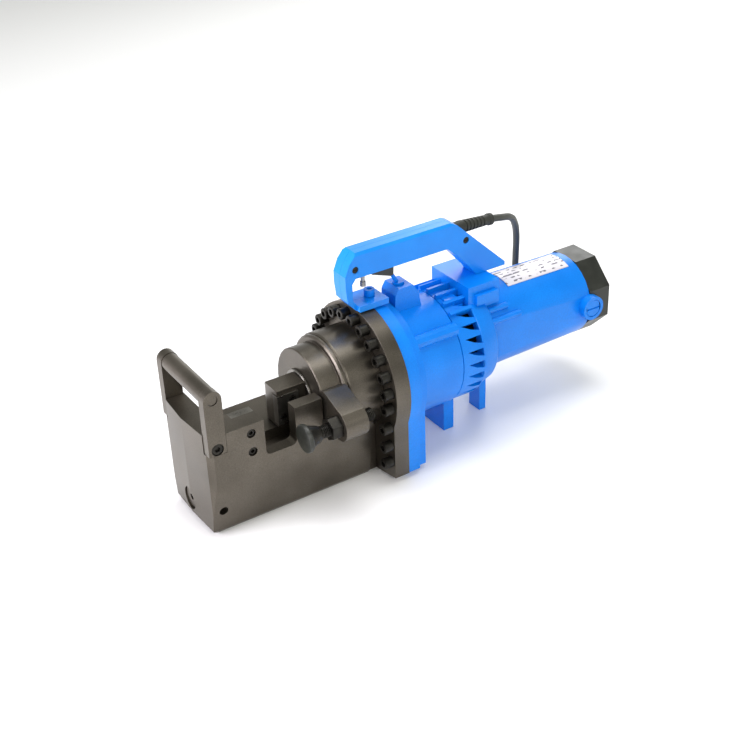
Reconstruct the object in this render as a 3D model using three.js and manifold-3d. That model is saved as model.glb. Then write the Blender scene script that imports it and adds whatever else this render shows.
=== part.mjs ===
// Portable electro-hydraulic rebar cutter, as an assembly of separate pieces.
// Millimetres. +X runs from the cutting nose to the motor, +Z is up, and Y = 0 is the centre plane.
// The origin is the middle of the head flange's foot, on the surface that the tool stands on.
import * as THREE from 'three';
import { mergeVertices } from 'three/addons/utils/BufferGeometryUtils.js';
import Module from 'manifold-3d';

const wasm = await Module();
wasm.setup();

// Driving dimensions
const GAP = 0.3;            // between pieces that touch
const RAM_Z = 115;          // height of the ram's axis
const MOTOR_Z = 123;        // height of the motor's axis
const SHAFT_Z = 93;         // height of the eccentric shaft
const NOSE_X = -239;        // front crease of the cutter frame
const HALF_W = 58;          // half width of the cutter frame
const DECK_Z = 90;          // deck that the moving head passes over
const TOP_Z = 138;          // top of the hook and of the nose
const THROAT_FRONT = -165.6;
const THROAT_REAR = -126;
const SHEAR_Y = -22.6;      // plane where the two cutters pass
const BORE_R = 40;          // cylinder bore
const ROD_R = 17;
const FLANGE_R = 89.5;      // head flange
const FLANGE_HALF = 10;     // half its thickness
const BOLT_PITCH_R = 79;
const HOUSING_R = 72;       // pump housing barrel
const HOUSING_END = 98;     // joint between pump housing and gear housing
const BAND_START = 131;     // collar of the gear housing
const BAND_END = 156;
const MOTOR_END = 312;
const CAP_END = 345;
const GRIP_HALF = 13;       // half width of the main handle
const FOOT_HALF = 19;       // half width of its front foot
const CABLE_R = 4.5;

const STEEL = [0x6f6a60, 0.42, 0.85];
const BRIGHT = [0xa9a7a3, 0.3, 0.95];
const BLUE = [0x0a84ee, 0.45, 0.0];
const BLACK = [0x1d201b, 0.5, 0.0];
const RUBBER = [0x24261f, 0.75, 0.0];
const COPPER = [0x9c5a33, 0.4, 0.8];
const PLATE = [0xc9c6cc, 0.35, 0.7];

const cutter = new THREE.Group();

// ---- solids ----

function solid(geometry) {
  geometry.deleteAttribute('normal');
  geometry.deleteAttribute('uv');
  const merged = mergeVertices(geometry, 1e-4);
  const index = merged.index.array;
  const triangles = [];
  for (let i = 0; i < index.length; i += 3) {
    const corners = [index[i], index[i + 1], index[i + 2]];
    if (new Set(corners).size === 3) triangles.push(...corners);
  }
  const mesh = new wasm.Mesh({
    numProp: 3,
    vertProperties: merged.attributes.position.array,
    triVerts: new Uint32Array(triangles),
  });
  return new wasm.Manifold(mesh);
}

function add(name, body, [colour, roughness, metalness]) {
  const mesh = body.getMesh();
  const geometry = new THREE.BufferGeometry();
  geometry.setAttribute('position', new THREE.BufferAttribute(mesh.vertProperties, 3));
  geometry.setIndex(new THREE.BufferAttribute(mesh.triVerts, 1));
  geometry.computeVertexNormals();
  const material = new THREE.MeshStandardMaterial({ color: colour, roughness, metalness });
  const piece = new THREE.Mesh(geometry, material);
  piece.name = name;
  cutter.add(piece);
}

// An outline pushed along one axis. Outlines are [y, z] for x, [x, z] for y and [x, y] for z.
const PLACE = {
  x: (from) => new THREE.Matrix4().set(0, 0, 1, from, 1, 0, 0, 0, 0, 1, 0, 0, 0, 0, 0, 1),
  y: (from, to) => new THREE.Matrix4().set(1, 0, 0, 0, 0, 0, -1, to, 0, 1, 0, 0, 0, 0, 0, 1),
  z: (from) => new THREE.Matrix4().set(1, 0, 0, 0, 0, 1, 0, 0, 0, 0, 1, from, 0, 0, 0, 1),
};

function prism(axis, outline, from, to) {
  const shape = new THREE.Shape(outline.map(([u, v]) => new THREE.Vector2(u, v)));
  const geometry = new THREE.ExtrudeGeometry(shape, { depth: to - from, bevelEnabled: false });
  geometry.applyMatrix4(PLACE[axis](from, to));
  return solid(geometry);
}

// A profile of [x, radius] points, closed on itself or by the axis, turned about an axis along X.
function turned(profile, y, z, segments = 28) {
  const closed = profile.map(([x, r]) => new THREE.Vector2(r, x));
  closed.push(closed[0].clone());
  const geometry = new THREE.LatheGeometry(closed, segments);
  geometry.applyMatrix4(new THREE.Matrix4().set(0, 1, 0, 0, 0, 0, 1, y, 1, 0, 0, z, 0, 0, 0, 1));
  return solid(geometry);
}

function box(x0, x1, y0, y1, z0, z1) {
  const geometry = new THREE.BoxGeometry(x1 - x0, y1 - y0, z1 - z0);
  geometry.translate((x0 + x1) / 2, (y0 + y1) / 2, (z0 + z1) / 2);
  return solid(geometry);
}

function rodX(radius, x0, x1, y, z, segments = 28) {
  const geometry = new THREE.CylinderGeometry(radius, radius, x1 - x0, segments);
  geometry.rotateZ(-Math.PI / 2);
  geometry.translate((x0 + x1) / 2, y, z);
  return solid(geometry);
}

function rodY(radius, y0, y1, x, z, segments = 16) {
  const geometry = new THREE.CylinderGeometry(radius, radius, y1 - y0, segments);
  geometry.translate(x, (y0 + y1) / 2, z);
  return solid(geometry);
}

function rodZ(radius, z0, z1, x, y, segments = 12) {
  const geometry = new THREE.CylinderGeometry(radius, radius, z1 - z0, segments);
  geometry.rotateX(Math.PI / 2);
  geometry.translate(x, y, (z0 + z1) / 2);
  return solid(geometry);
}

function arc(cx, cy, radius, startDeg, endDeg, steps) {
  const points = [];
  for (let i = 0; i <= steps; i++) {
    const angle = THREE.MathUtils.degToRad(startDeg + (endDeg - startDeg) * i / steps);
    points.push([cx + radius * Math.cos(angle), cy + radius * Math.sin(angle)]);
  }
  return points;
}

const minus = (body, ...cuts) => cuts.reduce((left, cut) => left.subtract(cut), body);
const plus = (body, ...more) => more.reduce((sum, next) => sum.add(next), body);
const span = (side, near, far) => (side < 0 ? [-far, -near] : [near, far]);

// ---- bolt places on the flange joint, as [y, z] ----

const boltPlaces = [];
for (const side of [-1, 1]) {
  for (let i = 0; i < 7; i++) {
    const angle = THREE.MathUtils.degToRad(82.5 - 15 * i);
    boltPlaces.push([side * BOLT_PITCH_R * Math.cos(angle), RAM_Z + BOLT_PITCH_R * Math.sin(angle)]);
  }
  for (const z of [28, 51, 76]) boltPlaces.push([side * 74, z]);
}

function flangeOutline(radius, footHalf, baseHalf) {
  const meetZ = RAM_Z - Math.sqrt(radius * radius - footHalf * footHalf);
  const meetDeg = THREE.MathUtils.radToDeg(Math.asin((meetZ - RAM_Z) / radius));
  const foot = [[-footHalf, 7], [-baseHalf, 0], [baseHalf, 0], [footHalf, 7]];
  return [...foot, ...arc(0, RAM_Z, radius, meetDeg, 180 - meetDeg, 30)];
}

// ---- cutter frame: one steel forging with the hook, the deck and the cradle ----

const FIXED_SCREWS = [[-182, 126], [-182, 102]];
const LEG_BOLT = [-224, 121];
const PLUG_YZ = [4, 26];

function cutterFrame() {
  const section = [[-42, 0], [42, 0], [46, 5], [HALF_W, 75], [HALF_W, TOP_Z], [-HALF_W, TOP_Z], [-HALF_W, 75], [-46, 5]];
  const plan = [[NOSE_X, 0], [-235.5, -50], [-229, -59], [-10 - GAP, -59], [-10 - GAP, 59], [-229, 59], [-235.5, 50]];
  let frame = prism('x', section, NOSE_X, -10 - GAP).intersect(prism('z', plan, -1, 150));
  const throat = [
    [THROAT_FRONT, 150],
    ...arc(THROAT_FRONT + 6, DECK_Z + 6.6, 6, 180, 270, 4),
    ...arc(THROAT_REAR - 6, DECK_Z + 6.6, 6, 270, 360, 4),
    [THROAT_REAR, 150],
  ];
  frame = minus(
    frame,
    box(-212, -88, -23, 60, DECK_Z, 150),
    box(-212, -165, -23, -13, 76, 150),
    box(-165.6, -90.5, -42, -13, 76, 150),
    prism('y', throat, -60, -20),
    box(-90.5, -5, -60, 60, 84, 150),
    rodX(55 + GAP, -91, -60, 0, RAM_Z),
    rodX(64 + GAP, -60 - GAP, -5, 0, RAM_Z),
    box(-193.8, -165, -35, SHEAR_Y + 1, 94, 150),
    turned([[-241, 0], [-241, 14], [-226, 14], [-226, 0]], ...PLUG_YZ, 24),
    rodY(5.5, -60, -38, -222, 33, 16),
    prism('y', [[-242, -1], [-242, 12], [-228, -1]], -60, 60),
  );
  for (const side of [-1, 1]) {
    frame = minus(
      frame,
      box(-24, -5, ...span(side, 40, 60), -1, 150),
      box(-245, -212.7, ...span(side, 45.7, 60), 113.7, 150),
      rodY(4.3, ...span(side, 28, 60), ...LEG_BOLT, 12),
    );
  }
  for (const [x, z] of FIXED_SCREWS) {
    frame = minus(frame, rodY(5.6, -60, -50.6, x, z, 16), rodY(3.3, -60, -34, x, z, 12));
  }
  add('cutter_frame', frame, STEEL);
}

// A socket head cap screw along Y, its head at the outer end.
function capScrewY(side, headR, headLength, shankR, head, tip, x, z) {
  const inner = head - headLength;
  const screw = plus(
    rodY(headR, ...span(side, inner, head), x, z, 16),
    rodY(shankR, ...span(side, tip, inner + 1), x, z, 12),
  );
  return minus(screw, rodY(headR * 0.5, ...span(side, head - headLength * 0.5, head + 1), x, z, 6));
}

function fixedCutter() {
  let block = box(-193.5, -165.8, -34.7, SHEAR_Y - 0.3, 94.3, 137.6);
  FIXED_SCREWS.forEach(([x, z], i) => {
    block = minus(block, rodY(3.3, -36, -24.5, x, z, 12));
    const screw = capScrewY(-1, 5.2, 6, 3, 56.6, 25.5, x, z);
    add(i === 0 ? 'fixed_cutter_screw_upper' : 'fixed_cutter_screw_lower', screw, BRIGHT);
  });
  add('fixed_cutter', block, BRIGHT);
}

function nosePlug() {
  const plug = turned([[-236, 0], [-236, 13], [-235, 13.7], [-226.3, 13.7], [-226.3, 0]], ...PLUG_YZ, 24);
  add('nose_plug', minus(plug, rodX(4, -240, -231, ...PLUG_YZ, 6)), STEEL);
}

// ---- front carrying handle: two legs and a bar ----

const BAIL = { x: -224, z: 184, r: 11 };

function frontHandle() {
  const outline = [
    [BAIL.x - BAIL.r, 114],
    [BAIL.x + BAIL.r, 114],
    ...arc(BAIL.x, BAIL.z, BAIL.r, 0, 180, 12),
  ];
  for (const side of [-1, 1]) {
    const leg = minus(
      prism('y', outline, ...span(side, 46, HALF_W)),
      rodY(6.3, ...span(side, 40, 60), BAIL.x, BAIL.z, 16),
      rodY(7.5, ...span(side, 51.7, 60), ...LEG_BOLT, 16),
      rodY(4.3, ...span(side, 40, 60), ...LEG_BOLT, 12),
    );
    const name = side < 0 ? 'near' : 'far';
    add(`front_handle_leg_${name}`, leg, STEEL);
    add(`front_handle_bolt_${name}`, capScrewY(side, 7.1, 5.4, 4, 57.4, 30, ...LEG_BOLT), BRIGHT);
  }
  const bar = plus(
    rodY(10.5, -45.7, 45.7, BAIL.x, BAIL.z, 24),
    rodY(6, -57, 57, BAIL.x, BAIL.z, 16),
  );
  add('front_handle_bar', bar, STEEL);
}

// ---- cylinder, gland, ram and moving cutter ----

const STOPPER = [-87, RAM_Z];

function cylinderBarrel() {
  const barrel = turned([
    [-86, 26 + GAP], [-86, 54], [-85, 55], [-60, 55], [-60, 60], [-58, 62.5], [-55, 62.5],
    [-55, 61.5], [-54, 61.5], [-54, 63], [-52, 64], [-10 - GAP, 64], [-10 - GAP, BORE_R],
    [-72, BORE_R], [-72, 26 + GAP],
  ], 0, RAM_Z);
  const arm = prism('x', [
    [-45, 140], [-56, 145], [-60, 145], [-96, 133],
    ...arc(STOPPER[0], STOPPER[1], 19, 125, 270, 10),
    [-48, 93],
  ], -88, -58);
  const clear = rodX(54, -89, -57, 0, RAM_Z);
  const body = plus(barrel, minus(arm, clear));
  add('cylinder_barrel', minus(body, rodX(8.1, -90, -50, ...STOPPER, 16)), STEEL);
}

function gland() {
  const ring = turned([
    [-89.5, ROD_R + GAP], [-89.5, 29], [-88.5, 30], [-86 - GAP, 30], [-86 - GAP, 26],
    [-72.3, 26], [-72.3, ROD_R + GAP],
  ], 0, RAM_Z);
  add('gland_ring', ring, BRIGHT);
}

const MOVING_SCREWS = [[-109, 127], [-122, 106]];

function ram() {
  const rod = turned([
    [-98, 0], [-98, ROD_R], [-24, ROD_R], [-24, BORE_R - GAP], [-19, BORE_R - GAP], [-19, 36],
    [-15, 36], [-15, BORE_R - GAP], [-10, BORE_R - GAP], [-10, 0],
  ], 0, RAM_Z);
  add('piston_rod', rod, BRIGHT);
  const seal = [[-18.7, 36 + GAP], [-18.7, BORE_R - 0.2], [-15.3, BORE_R - 0.2], [-15.3, 36 + GAP]];
  add('piston_seal', turned(seal, 0, RAM_Z), RUBBER);

  const section = [[-20, 92.5], [14, 92.5], [18, 96.5], [18, 126], [15, 135], [8, 141], [-20, 141]];
  const plan = [[-128, -21], [-90, -21], [-90, 19], [-118, 19], [-125, 14], [-128, 6]];
  let head = prism('x', section, -128, -90).intersect(prism('z', plan, 90, 145));
  head = minus(
    head,
    box(-130, -100.7, -25, -11.7, 96.7, 135.3),
    turned([[-98.4, 0], [-98.4, ROD_R + GAP], [-85, ROD_R + GAP], [-85, 0]], 0, RAM_Z),
  );
  let block = box(-129, -101, SHEAR_Y + 0.2, -12, 97, 135);
  MOVING_SCREWS.forEach(([x, z], i) => {
    head = minus(head, rodY(2.7, -12, -3, x, z, 12));
    block = minus(block, rodY(4.5, -25, -18.7, x, z, 16), rodY(2.7, -25, -11, x, z, 12));
    const screw = capScrewY(-1, 4.2, 3, 2.4, 22, 4, x, z);
    add(i === 0 ? 'moving_cutter_screw_upper' : 'moving_cutter_screw_lower', screw, BRIGHT);
  });
  add('moving_cutter_head', head, STEEL);
  add('moving_cutter', block, BRIGHT);

  const spring = [[-71.7, 20], [-71.7, 29], [-24.3, 29], [-24.3, 20]];
  add('return_spring', turned(spring, 0, RAM_Z, 24), BRIGHT);
}

function stopper() {
  const pad = turned([
    [-134, 0], [-134, 16], [-133, 17], [-128.5, 17], [-127.5, 16], [-127.5, 6.3], [-131, 6.3], [-131, 0],
  ], ...STOPPER, 28);
  add('stopper_pad', pad, BLACK);
  const screw = turned([
    [-130.7, 0], [-130.7, 6], [-127.2, 6], [-127.2, 13], [-124, 13], [-114, 9.5], [-114, 7.7],
    [-43, 7.7], [-42, 6.7], [-42, 0],
  ], ...STOPPER, 24);
  add('stopper_screw', screw, STEEL);
  const nut = minus(rodX(14, -101.5, -88 - GAP, ...STOPPER, 6), rodX(8.1, -105, -80, ...STOPPER, 16));
  add('stopper_lock_nut', nut, STEEL);
}

// ---- flange joint ----

function headFlange() {
  const flange = prism('x', flangeOutline(FLANGE_R, 82, 45), -FLANGE_HALF, FLANGE_HALF);
  add('head_flange', minus(flange, rodX(BORE_R, -15, 15, 0, RAM_Z)), STEEL);
}

// The heads of the twenty cap screws are one node: a thin link under the heads joins them.
function flangeBolts() {
  const linkEnd = -FLANGE_HALF - GAP;
  const linkStart = linkEnd - 0.9;
  const ring = [[linkStart, 77.5], [linkStart, 80.5], [linkEnd, 80.5], [linkEnd, 77.5]];
  let bolts = turned(ring, 0, RAM_Z).intersect(box(-20, 0, -90, 90, 103, 200));
  for (const side of [-1, 1]) {
    bolts = plus(bolts, box(linkStart, linkEnd, ...span(side, 73, 80), 26, 106));
  }
  for (const [y, z] of boltPlaces) {
    bolts = plus(bolts, rodX(7, -22, linkEnd, y, z, 8));
  }
  add('flange_bolts', bolts, STEEL);
}

// ---- pump housing and what it holds ----

const LEVER = { x: 55, top: 216 };
const FOOT_BOLT_X = 14;

function pumpHousing() {
  let housing = plus(
    prism('x', flangeOutline(88.5, 81, 44), FLANGE_HALF + GAP, 26),
    prism('x', flangeOutline(82, 76, 42), 25, 38),
    turned([[30, 0], [30, 76], [42, 74], [46, HOUSING_R + 1], [92, HOUSING_R], [HOUSING_END, HOUSING_R], [HOUSING_END, 0]], 0, RAM_Z),
    rodX(8.5, 36, HOUSING_END, -54, 163, 10),
    rodX(8.5, 36, HOUSING_END, 54, 163, 10),
    prism('y', [[38, 170], [41, 208], [46, LEVER.top], [66, LEVER.top], [74, 204], [80, 170]], -15, 15),
  );
  housing = minus(
    housing,
    rodX(36, 5, 31, 0, RAM_Z),
    rodX(62, 30, 105, 0, RAM_Z),
    rodZ(6.3, 204, 225, LEVER.x, 0, 16),
    rodZ(4.3, 186, 210, FOOT_BOLT_X, 0, 12),
  );
  add('pump_housing', housing, BLUE);
}

const PLUNGER_X = 79;
const LOBE_OFFSET = 3;

function pump() {
  const block = minus(
    plus(rodX(35.7, 10.6, 66, 0, RAM_Z), box(60, 92, -13, 13, 109, 140)),
    rodZ(5.3, 100, 134, PLUNGER_X, 0, 16),
    rodX(6.3, 54, 70, 0, SHAFT_Z, 16),
    rodX(4, 5, 40, 0, RAM_Z, 12),
  );
  add('pump_block', block, STEEL);
  add('pump_plunger', rodZ(5, 108.4, 128, PLUNGER_X, 0, 16), BRIGHT);

  const shaft = plus(
    rodX(6, 54.5, 118, 0, SHAFT_Z, 16),
    rodX(7, 68, 72, 0, SHAFT_Z, 16),
    rodX(9, 72, 86, 0, SHAFT_Z - LOBE_OFFSET, 16),
    rodX(7, 86, 109, 0, SHAFT_Z, 16),
  );
  add('eccentric_shaft', shaft, BRIGHT);
  const ring = [[73.2, 9 + GAP], [73.2, 12], [84.8, 12], [84.8, 9 + GAP]];
  add('eccentric_bearing', turned(ring, 0, SHAFT_Z - LOBE_OFFSET, 24), BRIGHT);

  const bladder = [[34, 40], [34, 59], [38, 61], [90, 61], [94, 57], [94, 42], [90, 40]];
  add('oil_bladder', turned(bladder, 0, RAM_Z), RUBBER);
}

function releaseLever() {
  const peg = new THREE.CylinderGeometry(2.4, 3, 13, 12);
  peg.rotateX(Math.PI / 2);
  peg.rotateY(-0.5);
  peg.translate(LEVER.x - 5, 0, LEVER.top + 7);
  const lever = plus(
    rodZ(6, 204.5, LEVER.top + 0.8, LEVER.x, 0, 16),
    rodZ(7.5, LEVER.top + GAP, LEVER.top + 3, LEVER.x, 0, 16),
    solid(peg),
  );
  add('release_lever', lever, BLUE);
}

// ---- gear pair: involute teeth on an outline ----

const MODULE = 1.25;
const PINION_TEETH = 9;
const GEAR_TEETH = 39;
const PRESSURE = THREE.MathUtils.degToRad(20);
const BACKLASH = 0.3;

function gearOutline(teeth, phase, y, z) {
  const pitchR = MODULE * teeth / 2;
  const baseR = pitchR * Math.cos(PRESSURE);
  const rootR = pitchR - 1.1 * MODULE;
  const tipR = pitchR + 0.8 * MODULE;
  const involute = (angle) => Math.tan(angle) - angle;
  const halfAngle = (r) => {
    const pressure = Math.acos(Math.min(1, baseR / r));
    const atPitch = Math.PI / (2 * teeth) - BACKLASH / (2 * pitchR);
    return atPitch + involute(PRESSURE) - involute(pressure);
  };
  const radii = [rootR, tipR];
  const points = [];
  for (let i = 0; i < teeth; i++) {
    const centre = phase + 2 * Math.PI * i / teeth;
    const flank = radii.map((r) => [r, halfAngle(r)]);
    const left = flank.map(([r, half]) => [r, centre - half]);
    const right = flank.map(([r, half]) => [r, centre + half]).reverse();
    for (const [r, angle] of [...left, ...right]) {
      points.push([y + r * Math.cos(angle), z + r * Math.sin(angle)]);
    }
  }
  return points;
}

function drive() {
  const gearTeeth = gearOutline(GEAR_TEETH, Math.PI / 2, 0, SHAFT_Z);
  const gear = minus(
    prism('x', gearTeeth, 100.3, 108.5),
    rodX(7 + GAP, 95, 115, 0, SHAFT_Z, 16),
  );
  add('drive_gear', gear, BRIGHT);

  const pinionTeeth = gearOutline(PINION_TEETH, -Math.PI / 2 + Math.PI / PINION_TEETH, 0, MOTOR_Z);
  const rotor = plus(
    prism('x', pinionTeeth, 99.5, 111),
    turned([
      [110.5, 0], [110.5, 6], [176, 6], [176, 27], [262, 27], [262, 12], [300, 12], [300, 15],
      [321, 15], [321, 6], [335, 6], [335, 0],
    ], 0, MOTOR_Z),
  );
  add('armature', rotor, COPPER);

  const hub = [[134, 6 + GAP], [134, 48], [136, 48], [136, 13], [150, 13], [150, 6 + GAP]];
  let fan = turned(hub, 0, MOTOR_Z, 24);
  for (let i = 0; i < 9; i++) {
    const blade = new THREE.BoxGeometry(12.5, 35, 2);
    blade.translate(141.8, 29, 0);
    blade.rotateX(2 * Math.PI * i / 9);
    blade.translate(0, 0, MOTOR_Z);
    fan = plus(fan, solid(blade));
  }
  add('cooling_fan', fan, BLACK);

  const ringOf = (x0, x1, inner, outer) => [[x0, inner], [x0, outer], [x1, outer], [x1, inner]];
  add('stator', turned(ringOf(172, 266, 29, 47.2), 0, MOTOR_Z), COPPER);
  add('front_bearing', turned(ringOf(112.3, 121.7, 6 + GAP, 13), 0, MOTOR_Z, 24), BRIGHT);
  add('rear_bearing', turned(ringOf(326, 334.5, 6 + GAP, 11), 0, MOTOR_Z, 24), BRIGHT);
  add('gear_shaft_bearing', turned(ringOf(111, 117.7, 6 + GAP, 11), 0, SHAFT_Z, 24), BRIGHT);
}

// ---- gear housing: finned barrel, vent windows, collar, saddle and front foot ----

const SADDLE_Z = 200;
const PLUG_AT = [114, -20];
const REAR_BOLT_X = 172;
const FIN_COUNT = 22;
const FIN_FIRST = -48;
const FIN_STEP = 276 / (FIN_COUNT - 1);

function gearHousing() {
  const start = HOUSING_END + GAP;
  let housing = plus(
    rodX(66, start, BAND_START + 1, 0, RAM_Z),
    turned([[BAND_START, 0], [BAND_START, 70.5], [BAND_START + 4, 70.5], [BAND_END, 65], [BAND_END, 0]], 0, 118.5),
    box(130, 176, -38, 38, 150, SADDLE_Z),
    box(103, 118, -23, 23, 0, 60),
    box(104, 126, -32, -8, 150, 178),
  );
  for (let i = 0; i < FIN_COUNT; i++) {
    const angle = FIN_FIRST + i * FIN_STEP;
    const top = angle > 62 && angle < 118;
    const fin = new THREE.BoxGeometry(BAND_START + 1 - start, top ? 14 : 9, 3.6);
    fin.translate((start + BAND_START + 1) / 2, top ? 70.5 : 67, 0);
    fin.rotateX(THREE.MathUtils.degToRad(angle));
    fin.translate(0, 0, RAM_Z);
    housing = plus(housing, solid(fin));
  }
  const fanRoom = turned([[124, 0], [124, 57], [150, 57], [BAND_END + 1, 54], [BAND_END + 1, 0]], 0, 118.5);
  housing = minus(
    housing,
    rodX(60, 90, 112, 0, RAM_Z),
    fanRoom,
    rodX(59, BAND_END, 180, 0, MOTOR_Z),
    rodX(13 + GAP, 105, 122, 0, MOTOR_Z, 24),
    rodX(8, 120, 126, 0, MOTOR_Z, 16),
    rodX(11 + GAP, 105, 118, 0, SHAFT_Z, 24),
    rodZ(5.3, 160, 179, ...PLUG_AT),
    rodZ(12, 178, 200, ...PLUG_AT),
    rodZ(4.3, 183.6, 201, REAR_BOLT_X, 0),
  );
  for (let i = 0; i < FIN_COUNT - 1; i++) {
    const angle = THREE.MathUtils.degToRad(FIN_FIRST + (i + 0.5) * FIN_STEP);
    if (Math.abs(Math.cos(angle)) < 0.72) continue;
    const vent = new THREE.BoxGeometry(5.6, 24, 7);
    vent.translate(127.5, 63, 0);
    vent.rotateX(angle);
    vent.translate(0, 0, RAM_Z);
    housing = minus(housing, solid(vent));
  }
  add('gear_housing', housing, BLUE);
  const plug = plus(
    rodZ(10.5, 178 + GAP, 186, ...PLUG_AT, 6),
    rodZ(5, 164, 179, ...PLUG_AT, 12),
  );
  add('oil_plug', plug, BLUE);
}

// ---- motor housing, brushes, end cap, nameplate ----

const BRUSH = [311, 125];
const MOTOR_FRONT_R = 56;
const MOTOR_REAR_R = 53.5;

function motorHousing() {
  const front = BAND_END + GAP;
  const skin = (extra) => turned([
    [front, 0], [front, MOTOR_FRONT_R + extra], [MOTOR_END, MOTOR_REAR_R + extra], [MOTOR_END, 0],
  ], 0, MOTOR_Z);
  let housing = skin(0).intersect(box(front, MOTOR_END, -50.5, 50.5, 0, 200));
  for (const side of [-1, 1]) {
    housing = plus(
      housing,
      rodY(16, ...span(side, 40, 61), ...BRUSH, 20),
      rodX(4, front, 200, side * 50, 151, 10),
      rodX(4, front, 186, side * 41, 162, 10),
    );
  }
  housing = plus(housing, box(168, 178, -11, 11, 0, 75));
  housing = minus(housing, rodX(47.5, front - 1, 335, 0, MOTOR_Z));
  for (const side of [-1, 1]) {
    housing = minus(
      housing,
      rodY(11.6, ...span(side, 56.7, 65), ...BRUSH, 20),
      rodY(8.5, ...span(side, 30, 65), ...BRUSH, 16),
    );
    const name = side < 0 ? 'near' : 'far';
    const cap = plus(
      rodY(11.2, ...span(side, 57, 60.5), ...BRUSH, 20),
      rodY(8.1, ...span(side, 51, 57.5), ...BRUSH, 16),
    );
    add(`brush_cap_${name}`, minus(cap, box(300, 322, ...span(side, 59, 62), 124, 126)), BLUE);
    add(`carbon_brush_${name}`, box(306.5, 315.5, ...span(side, 15.6, 50.7), 121, 129), BLACK);
  }
  add('motor_housing', housing, BLUE);

  const plate = minus(skin(1.1), skin(GAP)).intersect(box(203, 300, -22, 14, 150, 190));
  add('nameplate', plate, PLATE);
}

function endCap() {
  const facets = arc(0, MOTOR_Z, 55.5, 22.5, 337.5, 7);
  let cap = prism('x', facets, MOTOR_END + GAP, CAP_END);
  cap = minus(cap, rodX(47, 300, 340, 0, MOTOR_Z));
  const seat = [[325, 11 + GAP], [325, 15], [341, 15], [341, 11 + GAP]];
  cap = plus(cap, turned(seat, 0, MOTOR_Z, 24));
  cap = minus(cap, rodY(16 + GAP, -70, 70, ...BRUSH, 20));
  add('end_cap', cap, BLACK);
}

// ---- main handle: two shells, trigger, lock pin, switch, fixings ----

const SADDLE_TOP = SADDLE_Z + GAP;
const GRIP_TOP = 277;
const HANDLE_SCREWS = [[-11, 257], [145, 250]];
const PIN_X = 6;

function handleOutline() {
  return [
    [-12, 205], [-23, 218], [-25, 236], [-25, 251], [-19, 265], [-9, GRIP_TOP], [124, GRIP_TOP], [132, 273],
    [204, 205], [204, SADDLE_TOP], [160, SADDLE_TOP], [158, 204], [133, 232], [118, 246],
    [-11, 246], [-16, 240], [-16, 219], [-11, 212], [28, 212], [28, 205],
  ];
}

function shellCavity() {
  return [[-20, 250.5], [-15, 262], [-7, 272], [122, 272], [154, 243], [145, 233], [121, 250.5]];
}

function handle() {
  const inside = minus(
    prism('y', shellCavity(), -9.5, 9.5),
    ...HANDLE_SCREWS.map(([x, z]) => rodY(7, -20, 20, x, z, 12)),
  );
  const slot = plus(
    box(PIN_X + 5, 48, -6.5, 6.5, 237, 253),
    rodZ(2.9, 237, 254, PIN_X, 0, 12),
  );
  for (const side of [-1, 1]) {
    const [y0, y1] = span(side, 0.15, GRIP_HALF);
    const chamfer = [
      [side * 0.15, 190], [side * 0.15, GRIP_TOP + 1], [side * 9, GRIP_TOP + 1], [side * GRIP_HALF, 274], [side * GRIP_HALF, 190],
    ];
    const bevel = prism('x', chamfer, -60, 230);
    const [foot0, foot1] = span(side, 0.15, FOOT_HALF);
    let shell = plus(
      prism('y', handleOutline(), y0, y1).intersect(bevel),
      box(-11, 29, foot0, foot1, 205, 212),
    );
    shell = minus(
      shell,
      inside,
      slot,
      rodZ(4.4, 195, 215, FOOT_BOLT_X, 0, 12),
      rodZ(4.4, 195, 209, REAR_BOLT_X, 0, 12),
      rodZ(8, 208, 240, REAR_BOLT_X, 0, 16),
    );
    for (const [x, z] of HANDLE_SCREWS) {
      shell = minus(shell, rodY(2.4, -14, 9, x, z, 10), rodY(4.4, -20, -10, x, z, 14));
    }
    shell = minus(shell, solid(guardSocket()));
    add(side < 0 ? 'handle_shell_near' : 'handle_shell_far', shell, BLUE);
  }
  HANDLE_SCREWS.forEach(([x, z], i) => {
    const screw = minus(
      plus(rodY(4, -12.3, -10.3, x, z, 14), rodY(2, -10.6, 7, x, z, 10)),
      box(x - 5, x + 5, -12.6, -11.6, z - 0.5, z + 0.5),
    );
    add(i === 0 ? 'handle_screw_front' : 'handle_screw_rear', screw, BRIGHT);
  });
}

function handleFixings() {
  const frontBolt = plus(
    rodZ(6.5, 212 + GAP, 221, FOOT_BOLT_X, 0, 16),
    rodZ(4, 190, 213, FOOT_BOLT_X, 0, 12),
  );
  add('handle_bolt_front', minus(frontBolt, rodZ(3.2, 217, 222, FOOT_BOLT_X, 0, 6)), BLUE);
  const rearBolt = plus(
    rodZ(6.5, 208 + GAP, 215, REAR_BOLT_X, 0, 16),
    rodZ(4, 184, 209, REAR_BOLT_X, 0, 12),
  );
  add('handle_bolt_rear', minus(rearBolt, rodZ(3.2, 212, 216, REAR_BOLT_X, 0, 6)), BLUE);

  const lever = prism('y', [
    [12, 259], [12, 244], [16, 240], [41, 231], [45, 232], [46, 245], [46, 259],
  ], -6, 6);
  add('trigger', plus(lever, rodY(2.5, -8.5, 8.5, 16, 255, 12)), BLACK);
  const pin = plus(rodZ(2.5, 229, 259, PIN_X, 0, 12), rodZ(3.6, 227, 233, PIN_X, 0, 12));
  add('lock_pin', pin, BRIGHT);
  add('switch_body', box(14, 62, -8.5, 8.5, 264.4, 271.4), BLACK);
}

// ---- cord ----

const GUARD_START = new THREE.Vector3(136, 0, 263);
const GUARD_END = new THREE.Vector3(199, 8, 256);
const COIL = { x: 150, y: 145, mid: 54, half: 13.5, height: 18 };
const PLUG_X = COIL.x - 63;

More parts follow.
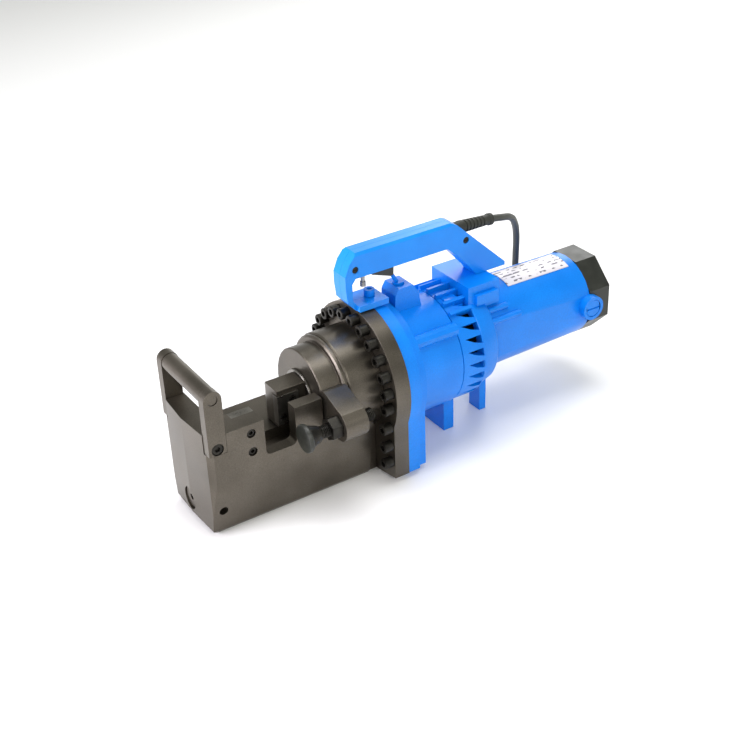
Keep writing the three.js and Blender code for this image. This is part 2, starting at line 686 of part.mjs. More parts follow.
// Turns a piece made along Y into the guard's direction.
function alongGuard(geometry, distance) {
  const way = GUARD_END.clone().sub(GUARD_START).normalize();
  geometry.applyQuaternion(new THREE.Quaternion().setFromUnitVectors(new THREE.Vector3(0, 1, 0), way));
  const middle = GUARD_START.clone().addScaledVector(way, distance);
  geometry.translate(middle.x, middle.y, middle.z);
  return geometry;
}

function guardSocket() {
  return alongGuard(new THREE.CylinderGeometry(8.9, 8.9, 40, 16), 0);
}

function cord() {
  const length = GUARD_END.distanceTo(GUARD_START);
  const profile = [
    [0, -12], [7.6, -12], [7.6, 6], [8.2, 8], [6.4, length - 8], [7.6, length - 6], [7.6, length - 1], [0, length - 1],
  ].map(([r, h]) => new THREE.Vector2(r, h));
  const guard = solid(alongGuard(new THREE.LatheGeometry(profile, 16), 0));
  add('cord_guard', guard, RUBBER);

  const route = [
    GUARD_END, [216, 11.5, 251.5], [240, 24, 241], [262, 42, 221], [280, 60, 192], [292, 75, 154],
    [298, 84, 112], [298, 88, 72], [291, 89, 40], [273, 87, 16], [249, 84.5, 5.8], [224, 82.6, 4.7], [186, 82, 4.6],
  ].map((point) => (Array.isArray(point) ? new THREE.Vector3(...point) : point.clone()));
  const curve = new THREE.CatmullRomCurve3(route, false, 'centripetal');
  const section = new THREE.Shape(arc(0, 0, CABLE_R, 0, 315, 7).map(([u, v]) => new THREE.Vector2(u, v)));
  const tube = new THREE.ExtrudeGeometry(section, { steps: 22, bevelEnabled: false, extrudePath: curve });
  add('power_cord', solid(tube), RUBBER);

  const ring = [
    [0, COIL.mid - COIL.half], [0, COIL.mid + COIL.half], [COIL.height, COIL.mid + COIL.half],
    [COIL.height, COIL.mid - COIL.half], [0, COIL.mid - COIL.half],
  ].map(([h, r]) => new THREE.Vector2(r, h));
  const coil = new THREE.LatheGeometry(ring, 32);
  coil.rotateX(Math.PI / 2);
  coil.translate(COIL.x, COIL.y, 0);
  add('cord_coil', solid(coil), RUBBER);

  const start = COIL.y - 37;
  let plug = prism('y', [[PLUG_X - 13, 0], [PLUG_X + 13, 0], [PLUG_X + 15, 14], [PLUG_X + 8, 27], [PLUG_X - 8, 27], [PLUG_X - 15, 14]], start - 52, start - 20);
  plug = plus(plug, rodY(6.5, start - 22, start, PLUG_X, 13.5, 12));
  for (const side of [-1, 1]) plug = plus(plug, rodY(2.3, start - 70, start - 50, PLUG_X + side * 9, 14, 10));
  add('plug', plug, BLACK);
}

cutterFrame();
fixedCutter();
nosePlug();
frontHandle();
cylinderBarrel();
gland();
ram();
stopper();
headFlange();
flangeBolts();
pumpHousing();
pump();
releaseLever();
drive();
gearHousing();
motorHousing();
endCap();
handle();
handleFixings();
cord();

export default cutter;
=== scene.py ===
import math
import bpy
import bmesh
from mathutils import Matrix, Vector


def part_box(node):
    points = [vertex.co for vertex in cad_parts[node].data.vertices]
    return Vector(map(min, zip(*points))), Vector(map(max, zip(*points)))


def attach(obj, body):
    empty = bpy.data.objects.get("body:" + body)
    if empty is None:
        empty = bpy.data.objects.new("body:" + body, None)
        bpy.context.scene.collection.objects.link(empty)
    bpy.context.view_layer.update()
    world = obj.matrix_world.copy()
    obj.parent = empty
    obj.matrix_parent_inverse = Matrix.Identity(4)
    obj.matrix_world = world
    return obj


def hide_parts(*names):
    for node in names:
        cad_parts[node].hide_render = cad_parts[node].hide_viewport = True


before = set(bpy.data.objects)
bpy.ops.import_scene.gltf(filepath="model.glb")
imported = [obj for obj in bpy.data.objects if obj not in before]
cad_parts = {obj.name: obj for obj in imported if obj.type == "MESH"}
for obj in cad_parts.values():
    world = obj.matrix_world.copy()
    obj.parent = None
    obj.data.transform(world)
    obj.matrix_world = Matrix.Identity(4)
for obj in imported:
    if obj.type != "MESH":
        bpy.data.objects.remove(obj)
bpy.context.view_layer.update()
MM = 0.001


# ---- Camera, floor and light ----
# A long lens from the nose's left, above, so that the hook, the stopper and the motor's side all show.
# The floor is a pale sheet, and three soft boxes stand in for a product studio.

camera_data = bpy.data.cameras.new("camera")
camera_data.lens = 62.72
camera_data.sensor_width = 36
camera = bpy.data.objects.new("camera", camera_data)
camera.matrix_world = Matrix((
    (0.8370, 0.3069, -0.4531, -0.7005),
    (-0.5462, 0.4165, -0.7267, -1.1519),
    (-0.0344, 0.8557, 0.5163, 0.9201),
    (0, 0, 0, 1),
))
bpy.context.scene.collection.objects.link(camera)
bpy.context.scene.camera = camera


def linear(colour):
    """An sRGB hex colour such as '#0a84ee' as linear red, green, blue and alpha."""
    parts = [int(colour[i:i + 2], 16) / 255 for i in (1, 3, 5)]
    return tuple(p / 12.92 if p <= 0.04045 else ((p + 0.055) / 1.055) ** 2.4 for p in parts) + (1,)


def node(tree, kind, sockets=None, **settings):
    """Adds one node. sockets gives each input a value or the output that feeds it."""
    made = tree.nodes.new("ShaderNode" + kind)
    for name, value in settings.items():
        setattr(made, name, value)
    for name, value in (sockets or {}).items():
        if isinstance(value, bpy.types.NodeSocket):
            tree.links.new(value, made.inputs[name])
        else:
            made.inputs[name].default_value = value
    return made


def finish(name, colour, metallic, roughness, **sockets):
    """A material with one shader. Returns the material, its tree, its shader and Object coordinates."""
    material = bpy.data.materials.new(name)
    material.use_nodes = True
    tree = material.node_tree
    shader = tree.nodes["Principled BSDF"]
    values = {"Base Color": linear(colour), "Metallic": metallic, "Roughness": roughness, **sockets}
    for socket, value in values.items():
        shader.inputs[socket].default_value = value
    return material, tree, shader, node(tree, "TexCoord").outputs["Object"]


FLOOR_HALF = 4.0
FLOOR_DROP = 0.0004
bm = bmesh.new()
bmesh.ops.create_grid(bm, x_segments=1, y_segments=1, size=FLOOR_HALF)
floor_mesh = bpy.data.meshes.new("floor")
bm.to_mesh(floor_mesh)
bm.free()
floor = bpy.data.objects.new("floor", floor_mesh)
floor.location.z = -FLOOR_DROP
bpy.context.scene.collection.objects.link(floor)
# Uncoated white paper: no sheen, and a barely visible tooth.
floor_paint, tree, shader, at = finish("white paper sweep", "#f4f4f4", 0.0, 0.9)
grain = node(tree, "TexNoise", {"Vector": at, "Scale": 900.0})
shade = node(tree, "MixRGB", {
    "Fac": grain.outputs["Fac"], "Color1": linear("#f2f2f2"), "Color2": linear("#f7f7f7"),
})
tree.links.new(shade.outputs["Color"], shader.inputs["Base Color"])
floor.data.materials.append(floor_paint)

for name, place, aim, size, power, tint in (
    ("softbox_nose", (-1.9, 0.3, 0.7), (-0.15, 0, 0.1), (1.2, 1.2), 52, (0.94, 0.9, 1.0)),
    ("softbox_side", (-0.2, -2.0, 1.5), (0.0, 0, 0.1), (1.6, 0.9), 24, (1.0, 0.98, 0.94)),
    ("softbox_top", (0.2, 0.1, 2.3), (0.05, 0, 0.1), (1.4, 1.0), 34, (1.0, 1.0, 1.0)),
    ("softbox_back", (1.6, 1.3, 1.2), (0.1, 0, 0.1), (1.2, 1.2), 18, (1.0, 1.0, 1.0)),
):
    light = bpy.data.lights.new(name, "AREA")
    light.shape = "RECTANGLE"
    light.size, light.size_y = size
    light.energy = power
    light.color = tint
    lamp = bpy.data.objects.new(name, light)
    lamp.location = place
    lamp.rotation_euler = (Vector(aim) - Vector(place)).to_track_quat("-Z", "Y").to_euler()
    bpy.context.scene.collection.objects.link(lamp)

world = bpy.data.worlds.new("studio")
world.use_nodes = True
tree = world.node_tree
up = node(tree, "SeparateXYZ", {"Vector": node(tree, "TexCoord").outputs["Generated"]})
rise = node(tree, "MapRange", {"Value": up.outputs["Z"], "From Min": 0.02, "From Max": 0.6})
walls = node(tree, "MixRGB", {
    "Fac": rise.outputs[0], "Color1": linear("#ffffff"), "Color2": linear("#a9aba4"),
})
tree.links.new(walls.outputs["Color"], tree.nodes["Background"].inputs["Color"])
tree.nodes["Background"].inputs["Strength"].default_value = 0.8
bpy.context.scene.world = world
bpy.context.scene.view_settings.view_transform = "Standard"


# ---- Mains cord ----
# Rubber-sheathed cable, 9 mm across, from the strain relief down behind the motor to a coil of six turns.
# The coil lies flat behind the machine, three turns wide and two high, and the plug lies beside it.

CABLE = 9.0
COIL_CENTRE = (150.0, 145.0)
COIL_RADII = (62.4, 53.4, 44.4)
STEP_DEG = 20
ROUTE = [
    (199, 8, 256), (216, 11.5, 251.5), (240, 24, 241), (262, 42, 221), (280, 60, 192), (292, 75, 154),
    (298, 84, 112), (298, 88, 72), (291, 89, 40), (273, 87, 16), (249, 84.5, 5.8), (224, 82.6, 4.7),
    (186, 82, 4.6),
]
CROSS_FROM = 0.85
CLIMB_FROM = 2.75


def coil_points():
    """Clockwise turns from the near side: out to in on the floor, then in to out on top."""
    turns = list(COIL_RADII) + list(reversed(COIL_RADII))
    points = []
    per_turn = 360 // STEP_DEG
    for step in range(1, len(turns) * per_turn + 1):
        done = step / per_turn
        turn = min(int(done), len(turns) - 1)
        blend = max(0.0, (done - turn - CROSS_FROM) / (1 - CROSS_FROM)) if turn < len(turns) - 1 else 0.0
        blend = blend * blend * (3 - 2 * blend)
        after = turns[min(turn + 1, len(turns) - 1)]
        radius = turns[turn] + (after - turns[turn]) * blend
        layer = 0.0 if turn < 2 else 1.0
        if turn == 2:
            layer = max(0.0, (done - CLIMB_FROM) / (3 - CLIMB_FROM))
            layer = layer * layer * (3 - 2 * layer)
        height = CABLE / 2 + 0.1 + CABLE * layer
        angle = math.radians(-90 - 360 * done)
        x = COIL_CENTRE[0] + radius * math.cos(angle)
        y = COIL_CENTRE[1] + radius * math.sin(angle)
        points.append((x, y, height))
    return points


RUN_IN = [(168, 82, 4.6), (150, 82, 4.6)]
LEAD_OUT = [(138, 82, 13.6), (126, 82, 13.55), (112, 82, 13.5)]
cord_points = ROUTE + RUN_IN + coil_points() + LEAD_OUT
cord_curve = bpy.data.curves.new("mains_cord", "CURVE")
cord_curve.dimensions = "3D"
cord_curve.bevel_depth = CABLE / 2 * MM
cord_curve.bevel_resolution = 4
cord_curve.use_fill_caps = True
spline = cord_curve.splines.new("BEZIER")
spline.bezier_points.add(len(cord_points) - 1)
for point, place in zip(spline.bezier_points, cord_points):
    point.co = Vector(place) * MM
    point.handle_left_type = point.handle_right_type = "AUTO"
spline.resolution_u = 6
cord_piece = bpy.data.objects.new("mains_cord", cord_curve)
bpy.context.scene.collection.objects.link(cord_piece)
# Grey-black rubber: matt, with a fine pitted grain.
sheath, tree, shader, at = finish("rubber cable sheath", "#3a3c38", 0.0, 0.55)
grain = node(tree, "TexNoise", {"Vector": at, "Scale": 1400.0, "Detail": 3.0})
tone = node(tree, "MixRGB", {
    "Fac": grain.outputs["Fac"], "Color1": linear("#2c2e2a"), "Color2": linear("#474943"),
})
bump = node(tree, "Bump", {"Height": grain.outputs["Fac"], "Strength": 0.2, "Distance": 0.0003})
tree.links.new(tone.outputs["Color"], shader.inputs["Base Color"])
tree.links.new(bump.outputs["Normal"], shader.inputs["Normal"])
cord_piece.data.materials.append(sheath)
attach(cord_piece, "housing")
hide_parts("power_cord", "cord_coil")


# ---- Strain relief and plug ----
# The strain relief is a tapered rubber sleeve with fine cross slots and an end bead, moulded round the cord.
# The plug is a moulded rubber body with two turned pins.

def spun(points, centre=(0, 0), steps=96):
    """A solid turned about the X axis at centre (Y, Z) from a profile of (X, radius) points, in mm."""
    bm = bmesh.new()
    verts = [bm.verts.new((x, centre[0], centre[1] + r)) for x, r in points]
    edges = [bm.edges.new(pair) for pair in zip(verts, verts[1:])]
    bmesh.ops.spin(
        bm, geom=verts + edges, cent=(0, centre[0], centre[1]), axis=(1, 0, 0), angle=math.tau,
        steps=steps, use_merge=True,
    )
    bmesh.ops.remove_doubles(bm, verts=bm.verts, dist=0.001)
    bmesh.ops.recalc_face_normals(bm, faces=bm.faces)
    return bm


def turned_to(bm, way, place):
    """Turns a piece made along +X into a direction and moves its start to a place."""
    turn = Vector(way).to_track_quat("X", "Z").to_matrix()
    bmesh.ops.rotate(bm, verts=bm.verts, cent=(0, 0, 0), matrix=turn)
    bmesh.ops.translate(bm, verts=bm.verts, vec=place)
    return bm


def piece(name, bm, body, nodes, material, bevel=0.0, segments=2, sharp=28):
    """Turns mm to metres, smooths all but the sharp edges, rounds those and puts the piece on its body."""
    bmesh.ops.dissolve_limit(bm, angle_limit=math.radians(0.4), verts=bm.verts, edges=bm.edges)
    bmesh.ops.scale(bm, vec=(MM, MM, MM), verts=bm.verts)
    for face in bm.faces:
        face.smooth = True
    for edge in bm.edges:
        if len(edge.link_faces) == 2 and edge.calc_face_angle(0) > math.radians(sharp):
            edge.smooth = False
    mesh = bpy.data.meshes.new(name)
    bm.to_mesh(mesh)
    bm.free()
    made = bpy.data.objects.new(name, mesh)
    bpy.context.scene.collection.objects.link(made)
    mesh.materials.append(material)
    if bevel:
        edge_round = made.modifiers.new("edge", "BEVEL")
        edge_round.width = bevel * MM
        edge_round.segments = segments
        edge_round.limit_method = "ANGLE"
        edge_round.angle_limit = math.radians(sharp)
        edge_round.harden_normals = True
    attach(made, body)
    if nodes:
        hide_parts(*nodes)
    return made


def worked(source, name, body, material, bevel=0.5, segments=2, sharp=28, move=None):
    """A copy of a plain node with its doubles merged, its flat faces joined and its edges rounded."""
    bm = bmesh.new()
    bm.from_mesh(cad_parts[source].data)
    bmesh.ops.remove_doubles(bm, verts=bm.verts, dist=0.000005)
    bmesh.ops.scale(bm, vec=(1000, 1000, 1000), verts=bm.verts)
    if move:
        bmesh.ops.transform(bm, matrix=move, verts=bm.verts)
    return piece(name, bm, body, [source], material, bevel, segments, sharp)


def grained(name, colour, dark, light, metallic, roughness, grain_mm, cloud_mm, relief, **sockets):
    """A finish with a fine surface grain in relief and a slow change of tone across the piece."""
    material, tree, shader, at = finish(name, colour, metallic, roughness, **sockets)
    fine = node(tree, "TexNoise", {"Vector": at, "Scale": 1000 / grain_mm, "Detail": 3.0, "Roughness": 0.6})
    cloud = node(tree, "TexNoise", {"Vector": at, "Scale": 1000 / cloud_mm, "Detail": 2.0})
    both = node(tree, "Math", {0: fine.outputs["Fac"], 1: cloud.outputs["Fac"]}, operation="MULTIPLY")
    spread = node(tree, "MapRange", {"Value": both.outputs[0], "From Min": 0.12, "From Max": 0.4})
    tone = node(tree, "MixRGB", {
        "Fac": spread.outputs[0], "Color1": linear(dark), "Color2": linear(light),
    })
    gloss = node(tree, "MapRange", {
        "Value": cloud.outputs["Fac"], "From Min": 0.3, "From Max": 0.7,
        "To Min": roughness * 0.85, "To Max": roughness * 1.15,
    })
    bump = node(tree, "Bump", {"Height": fine.outputs["Fac"], "Strength": 0.35, "Distance": relief * MM})
    tree.links.new(tone.outputs["Color"], shader.inputs["Base Color"])
    tree.links.new(gloss.outputs[0], shader.inputs["Roughness"])
    tree.links.new(bump.outputs["Normal"], shader.inputs["Normal"])
    return material


# Matt rubber: soft broad highlights and a faint speckle.
rubber = grained("moulded natural rubber", "#262822", "#1d1f1a", "#30322b", 0.0, 0.6, 1.2, 25, 0.05)
GUARD_FROM = Vector((136, 0, 263))
GUARD_TO = Vector((199, 8, 256))
GUARD_LENGTH = (GUARD_TO - GUARD_FROM).length
sleeve = [(-12, 0), (-12, 7.4), (6, 7.4), (8, 8.1)]
SLOTS = 6
for slot_at in range(SLOTS):
    start = 14 + slot_at * (GUARD_LENGTH - 28) / SLOTS
    radius = 8.1 - 1.7 * (start - 8) / (GUARD_LENGTH - 16)
    sleeve += [(start, radius), (start + 0.3, radius - 1.1)]
    sleeve += [(start + 2.3, radius - 1.2), (start + 2.6, radius - 0.1)]
sleeve += [(GUARD_LENGTH - 9, 6.4), (GUARD_LENGTH - 8, 6.4), (GUARD_LENGTH - 7, 7.5)]
sleeve += [(GUARD_LENGTH - 2.5, 7.5), (GUARD_LENGTH - 1, 6.4), (GUARD_LENGTH - 1, 0)]
piece(
    "cord_strain_relief", turned_to(spun(sleeve, steps=40), GUARD_TO - GUARD_FROM, GUARD_FROM), "housing",
    ["cord_guard"], rubber,
)
PLUG_FROM = Vector((87, 86, 0))
PLUG_TO = Vector((97, 82, 0))
quarter_turn = Matrix.Rotation(math.radians(-90), 4, "Z")
lay_along_cord = Matrix.Translation(PLUG_TO) @ quarter_turn @ Matrix.Translation(-PLUG_FROM)
worked("plug", "mains_plug", "housing", rubber, 1.6, 3, move=lay_along_cord)

COIL_TIE_RADIUS = 53.4
bm = bmesh.new()
bmesh.ops.create_cube(bm, size=1)
bmesh.ops.scale(bm, vec=(8, 27.9, 18.3), verts=bm.verts)
bmesh.ops.translate(bm, verts=bm.verts, vec=(COIL_CENTRE[0], COIL_CENTRE[1] + COIL_TIE_RADIUS, 9.15))
hollow = [f for f in bm.faces if abs(f.normal.x) > 0.9]
bmesh.ops.inset_region(bm, faces=hollow, thickness=0.5)
piece("cord_coil_tie", bm, "housing", [], rubber, 0.3)


# ---- Cutter frame ----
# One heavy steel forging, machined all over, then oiled: a hook round the bar's throat and a bed for the ram.
# Its edges are broken with a file, so they catch the light.

# A thin oil film over a fine milled grain: grey-brown, with soft bright lines along the edges.
steel = grained(
    "oiled machined forging", "#5f5a52", "#524d45", "#6b655c", 0.88, 0.33, 0.9, 60, 0.012,
)
worked("cutter_frame", "cutter_frame_forging", "housing", steel, 0.9, 3)
worked("nose_plug", "ram_pin_cover", "housing", steel, 0.35)


# ---- Cutters and their screws ----
# The cutters are hardened tool steel blocks, ground on all sides.
# Black socket screws hold them, and the front handle's legs too.

# Ground steel is brighter and smoother than the forging; black oxide is nearly black with a low sheen.
tool_steel = grained("ground tool steel", "#7d7a74", "#66635d", "#8f8c86", 0.95, 0.3, 0.7, 20, 0.01)
black_oxide = grained("black oxide on steel", "#2b2a27", "#1d1c1a", "#3a3833", 0.8, 0.38, 0.8, 12, 0.01)
worked("fixed_cutter", "fixed_cutter_block", "housing", tool_steel, 0.5)
worked("moving_cutter", "moving_cutter_block", "ram", tool_steel, 0.5)


def screw_head(into, place, axis, radius, height, socket, depth):
    """Adds a socket screw's head to a mesh: underside at place, top towards axis, all in mm."""
    bm = bmesh.new()
    rim = [(0, 0), (0, radius), (height - 1.0, radius), (height - 0.3, radius - 0.4), (height, radius - 1.2)]
    verts = [bm.verts.new((x, 0, r)) for x, r in rim]
    edges = [bm.edges.new(pair) for pair in zip(verts, verts[1:])]
    bmesh.ops.spin(
        bm, geom=verts + edges, cent=(0, 0, 0), axis=(1, 0, 0), angle=math.tau, steps=24, use_merge=True,
    )
    bmesh.ops.remove_doubles(bm, verts=bm.verts, dist=0.001)
    six = bmesh.ops.create_circle(bm, segments=6, radius=socket)["verts"]
    bmesh.ops.rotate(bm, verts=six, cent=(0, 0, 0), matrix=Matrix.Rotation(math.pi / 2, 3, "Y"))
    bmesh.ops.translate(bm, verts=six, vec=(height, 0, 0))
    at_top = height - 0.01
    open_edges = [e for e in bm.edges if not e.link_faces or (e.is_boundary and e.verts[0].co.x > at_top)]
    hex_edges = [e for e in open_edges if not e.link_faces]
    bmesh.ops.triangle_fill(bm, edges=open_edges, use_beauty=True)
    inner = [e for e in hex_edges if e.is_valid]
    down = bmesh.ops.extrude_edge_only(bm, edges=inner)["geom"]
    moved = [v for v in down if isinstance(v, bmesh.types.BMVert)]
    bmesh.ops.translate(bm, verts=moved, vec=(-depth, 0, 0))
    bmesh.ops.contextual_create(bm, geom=[e for e in down if isinstance(e, bmesh.types.BMEdge)])
    bmesh.ops.recalc_face_normals(bm, faces=bm.faces)
    turned_to(bm, axis, place)
    shape = bpy.data.meshes.new("screw")
    bm.to_mesh(shape)
    bm.free()
    into.from_mesh(shape)
    bpy.data.meshes.remove(shape)


for screws, body, spots, face_y, radius in (
    (
        ("fixed_cutter_screw_upper", "fixed_cutter_screw_lower"), "housing",
        ((-182, 126), (-182, 102)), -56.6, 5.2,
    ),
    (
        ("moving_cutter_screw_upper", "moving_cutter_screw_lower"), "ram",
        ((-109, 127), (-122, 106)), -22.0, 4.2,
    ),
    (("front_handle_bolt_near",), "housing", ((-224, 121),), -57.4, 7.1),
):
    for (x, z), replaced in zip(spots, screws):
        bm = bmesh.new()
        screw_head(bm, (x, face_y + 4, z), (0, -1, 0), radius, 4, radius * 0.5, 2.6)
        piece(replaced.replace("screw", "socket_screw"), bm, body, [replaced], black_oxide)
bm = bmesh.new()
screw_head(bm, (-224, 57.4 - 4, 121), (0, 1, 0), 7.1, 4, 3.5, 2.6)
piece("front_handle_socket_bolt_far", bm, "housing", ["front_handle_bolt_far"], black_oxide)


# ---- Front carrying handle ----
# Two flat steel legs are let into the nose and bolted to it.
# A round bar with shouldered ends is pressed between them.

for side in ("near", "far"):
    worked("front_handle_leg_" + side, "front_handle_side_" + side, "housing", steel, 0.8, 3)
low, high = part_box("front_handle_bar")
half = high.y * 1000
grip = [(-half, 0), (-half, 5.9), (-45.8, 5.9), (-45.8, 9.8), (-45.0, 10.5)]
grip += [(45.0, 10.5), (45.8, 9.8), (45.8, 5.9), (half, 5.9), (half, 0)]
bm = spun(grip, steps=48)
turned_to(bm, (0, 1, 0), ((low.x + high.x) * 500, 0, (low.z + high.z) * 500))
piece("front_handle_grip", bm, "housing", ["front_handle_bar"], steel)


# ---- Cylinder ----
# A turned steel barrel with two steps and a groove, forged in one with the arm that holds the stopper.
# A ground nut closes its front round the rod.

RAM_Z = 115
worked("cylinder_barrel", "cylinder_forging", "housing", steel, 0.7, 2, 24)
worked("gland_ring", "gland_nut", "housing", tool_steel, 0.4)


# ---- Stopper ----
# A black moulded pad on a long screw that presses on the bar, with a cone behind it and a threaded tail.
# A hexagon lock nut holds the screw in the cylinder's arm.

STOP_Y = -87
# Fibre-filled nylon: near black, with a fine spark grain from its mould.
black_plastic = grained("glass-filled nylon", "#1f211c", "#181a16", "#2a2c26", 0.0, 0.42, 0.8, 22, 0.03)
pad = [(-134, 0), (-134, 14.5), (-133.2, 16.4), (-131.6, 17), (-129.4, 17)]
pad += [(-128, 16.2), (-127.5, 14.6), (-127.5, 0)]
piece(
    "stopper_face_pad", spun(pad, (STOP_Y, RAM_Z), 64), "stopper", ["stopper_pad"],
    black_plastic,
)
thread = [(-127.2, 0), (-127.2, 12.6), (-126.6, 13), (-124, 13), (-114, 9.5), (-112, 7.1)]
crest = -111.0
while crest < -44:
    thread += [(crest, 7.7), (crest + 0.5, 7.7), (crest + 1.0, 6.8), (crest + 1.5, 6.8)]
    crest += 2.0
thread += [(-43.4, 6.6), (-42, 5.6), (-42, 0)]
piece(
    "stopper_long_screw", spun(thread, (STOP_Y, RAM_Z), 48), "stopper", ["stopper_screw"],
    black_oxide,
)
worked("stopper_lock_nut", "stopper_hexagon_nut", "housing", black_oxide, 0.6, 2)


# ---- Ram and moving head ----
# A ground rod carries the moving head, a milled steel block with rounded shoulders.
# The rod shows only when the ram is out.

worked("moving_cutter_head", "moving_head", "ram", steel, 0.8, 3)


# ---- Head flange and its twenty screws ----
# The forged flange is clamped to the pump housing by black socket screws set close round its rim.
# The screws stand on the flange's front face.

worked("head_flange", "head_flange_forging", "housing", steel, 0.9, 3, 20)
PITCH_R = 79
bm = bmesh.new()
for side in (-1, 1):
    spots = []
    for step in range(7):
        angle = math.radians(82.5 - 15 * step)
        spots.append((side * PITCH_R * math.cos(angle), RAM_Z + PITCH_R * math.sin(angle)))
    spots += [(side * 74, 28), (side * 74, 51), (side * 74, 76)]
    for y, z in spots:
        screw_head(bm, (-10.3, y, z), (-1, 0, 0), 7.0, 11.7, 4.0, 5)
piece("head_flange_screws", bm, "housing", ["flange_bolts"], black_oxide)


# ---- Pump housing and release lever ----
# Cast aluminium in blue enamel, with a sand-cast skin under the paint, so the gloss is a little uneven.
# The release lever turns on top of the housing's hump.

# Even semi-gloss paint: the grain is drawn at 1.6 mm, coarser than the real orange peel, so that it shows.
enamel = grained(
    "blue enamel on cast aluminium", "#007ae0", "#0072d6", "#0082ea", 0.0, 0.34, 1.6, 60, 0.03,
    **{"Coat Weight": 0.1, "Coat Roughness": 0.2, "Specular IOR Level": 0.3},
)
worked("pump_housing", "pump_housing_casting", "housing", enamel, 1.2, 3, 20)
worked("release_lever", "release_valve_lever", "release_lever", enamel, 0.5)


# ---- Gear housing ----
# The same cast and enamelled aluminium, with wedge-shaped cooling ribs in front of a smooth collar.
# The saddle on top carries the main handle's rear foot.

def loose(bm, name):
    """A plain object with a mesh in mm, for joining and cutting only."""
    mesh = bpy.data.meshes.new(name)
    bm.to_mesh(mesh)
    bm.free()
    made = bpy.data.objects.new(name, mesh)
    bpy.context.scene.collection.objects.link(made)
    return made


def shaped(base, *steps):
    """Joins or cuts closed shapes in turn. Each step is an operation and a shape."""
    main = loose(base, "blank")
    tools = [loose(shape, "tool") for _, shape in steps]
    for (operation, _), tool in zip(steps, tools):
        change = main.modifiers.new("change", "BOOLEAN")
        change.operation = operation
        change.solver = "EXACT"
        change.object = tool
    bpy.context.view_layer.update()
    made = bmesh.new()
    made.from_object(main, bpy.context.evaluated_depsgraph_get())
    for spent in [main] + tools:
        mesh = spent.data
        bpy.data.objects.remove(spent)
        bpy.data.meshes.remove(mesh)
    return made


def block(x, y, z):
    """A box between two limits on each axis, in mm."""
    bm = bmesh.new()
    bmesh.ops.create_cube(bm, size=1)
    bmesh.ops.scale(bm, vec=(x[1] - x[0], y[1] - y[0], z[1] - z[0]), verts=bm.verts)
    middle = ((x[0] + x[1]) / 2, (y[0] + y[1]) / 2, (z[0] + z[1]) / 2)
    bmesh.ops.translate(bm, verts=bm.verts, vec=middle)
    return bm


def rod(radius, start, end, y=0, z=0, steps=32):
    """A round rod along X, in mm."""
    return spun([(start, 0), (start, radius), (end, radius), (end, 0)], (y, z), steps)


BARREL = [(98.3, 58), (98.3, 68.5), (99.5, 71.5), (131.5, 71.5), (131.5, 58), (98.3, 58)]
COLLAR = [(130, 56.3), (130, 70.0), (131, 70.5), (135, 70.5)]
COLLAR += [(154.5, 65.4), (156, 64), (156, 56.3), (130, 56.3)]
COLLAR_Z = 118.5
MOTOR_Z = 123
MOTOR_BORE = 56.4
RIBS = 21
FIRST_RIB = -48
RIB_STEP = 276 / RIBS
pockets = []
for rib in range(RIBS):
    bm = bmesh.new()
    first = FIRST_RIB + RIB_STEP * rib
    for radius in (50, 76):
        for x, turn in ((107, 2.6), (130.6, 2.6), (130.6, RIB_STEP - 2.2), (121, RIB_STEP - 4.5)):
            angle = math.radians(first + turn)
            bm.verts.new((x, radius * math.cos(angle), RAM_Z + radius * math.sin(angle)))
    bmesh.ops.convex_hull(bm, input=bm.verts)
    pockets.append(("DIFFERENCE", bm))
top_ribs = []
for angle in (50, 62, 74, 87, 100, 112, 124):
    bm = block((99, 131), (-2.2, 2.2), (64, 77))
    lean = Matrix.Rotation(math.radians(angle - 90), 3, "X")
    bmesh.ops.rotate(bm, verts=bm.verts, cent=(0, 0, 0), matrix=lean)
    bmesh.ops.translate(bm, verts=bm.verts, vec=(0, 0, RAM_Z))
    top_ribs.append(("UNION", bm))
casting = shaped(
    spun(BARREL, (0, RAM_Z), 120), *pockets, *top_ribs,
    ("UNION", spun(COLLAR, (0, COLLAR_Z), 120)),
    ("UNION", block((130, 176), (-38, 38), (168, 200))),
    ("UNION", block((139, 171), (-43.5, -34), (176, 189))),
    ("UNION", block((139, 171), (34, 43.5), (176, 189))),
    ("UNION", block((103, 118), (-23, 23), (0, 52))),
    ("UNION", block((104, 126), (-32, -8), (168, 178))),
    ("DIFFERENCE", turned_to(rod(MOTOR_BORE, 0, 80, steps=96), (1, 0, 0), (120, 0, MOTOR_Z))),
    ("DIFFERENCE", turned_to(rod(5.6, 0, 14, steps=24), (0, 0, 1), (114, -20, 170))),
)
piece(
    "gear_housing_casting", casting, "housing", ["gear_housing"], enamel, 0.7, 2, 24,
)
worked("oil_plug", "oil_filler_plug", "housing", enamel, 0.5)


# ---- Motor housing, brush caps and label ----
# A tapered casting in the same enamel, a printed aluminium label, and slotted caps over the carbon brushes.
# A black moulded eight-sided cover closes the end.

worked("motor_housing", "motor_housing_casting", "housing", enamel, 0.8, 2, 20)
for side in ("near", "far"):
    worked("brush_cap_" + side, "brush_holder_cap_" + side, "housing", enamel, 0.5)
worked("end_cap", "motor_end_cover", "housing", black_plastic, 1.0, 3)

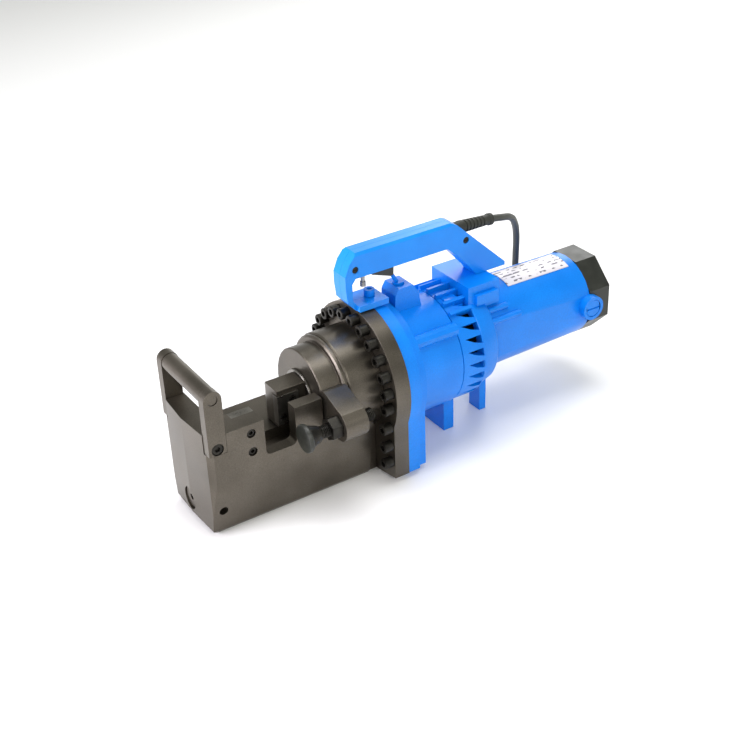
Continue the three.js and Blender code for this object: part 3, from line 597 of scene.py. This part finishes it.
# Silver label with rows of plain dark dashes, 6 mm apart, which stand for its print.
label, tree, shader, at = finish("printed anodised aluminium label", "#cfccd2", 0.3, 0.4)
spot = node(tree, "SeparateXYZ", {"Vector": at})
rows = node(tree, "Math", {0: spot.outputs["Y"], 1: 160.0}, operation="MULTIPLY")
row = node(tree, "Math", {0: rows.outputs[0]}, operation="FRACT")
in_row = node(tree, "Math", {0: row.outputs[0], 1: 0.42}, operation="LESS_THAN")
dashes = node(tree, "TexNoise", {"Vector": at, "Scale": 160.0, "Detail": 0.0})
in_dash = node(tree, "Math", {0: dashes.outputs["Fac"], 1: 0.55}, operation="GREATER_THAN")
ink = node(tree, "Math", {0: in_row.outputs[0], 1: in_dash.outputs[0]}, operation="MULTIPLY")
print_tone = node(tree, "MixRGB", {
    "Fac": ink.outputs[0], "Color1": linear("#cfccd2"), "Color2": linear("#5d5a66"),
})
tree.links.new(print_tone.outputs["Color"], shader.inputs["Base Color"])
worked("nameplate", "motor_label", "housing", label, 0.2)


# ---- Main handle, trigger and lock pin ----
# Two moulded nylon shells are screwed together and bolted down at both ends.
# A black trigger and a plated lock pin stand out below the grip.

# Moulded nylon: the same blue as the paint, a little glossier and smoother.
blue_nylon = grained(
    "moulded blue nylon", "#0080e4", "#0078da", "#0088ec", 0.0, 0.36, 1.0, 50, 0.02,
    **{"Coat Weight": 0.1, "Coat Roughness": 0.2, "Specular IOR Level": 0.35},
)
plated = grained("zinc-plated steel", "#8d8c8a", "#7b7a78", "#9d9c9a", 0.95, 0.28, 0.6, 10, 0.01)
for side in ("near", "far"):
    worked("handle_shell_" + side, "handle_half_" + side, "housing", blue_nylon, 2.2, 4, 20)
for which in ("front", "rear"):
    screw = "handle_screw_" + which
    worked(screw, "handle_shell_screw_" + which, "housing", black_oxide, 0.3)
    worked("handle_bolt_" + which, "handle_fixing_bolt_" + which, "housing", enamel, 0.5)
worked("trigger", "trigger_lever", "trigger", black_plastic, 0.8, 3)
worked("lock_pin", "trigger_lock_pin", "lock_pin", plated, 0.4)


# ---- Inside pieces ----
# Pump, gears, bearings, motor and switch keep their plain shapes and get their real finishes.

# Varnished copper wire is a warm brown, and pressed carbon a soft matt black.
copper = grained("enamelled copper windings", "#9c5a33", "#7f4526", "#b56c40", 0.7, 0.4, 0.8, 6, 0.05)
carbon = grained("pressed carbon", "#2a2a2a", "#202020", "#363636", 0.1, 0.5, 0.5, 4, 0.02)
inside = {
    copper: ("armature", "stator"),
    carbon: ("carbon_brush_near", "carbon_brush_far"),
    steel: ("pump_block",),
    tool_steel: (
        "piston_rod", "return_spring", "pump_plunger", "eccentric_shaft", "eccentric_bearing", "drive_gear",
        "front_bearing", "rear_bearing", "gear_shaft_bearing",
    ),
    black_plastic: ("switch_body", "cooling_fan"),
    rubber: ("piston_seal", "oil_bladder"),
}
for material, names in inside.items():
    for name in names:
        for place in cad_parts[name].material_slots:
            place.material = material
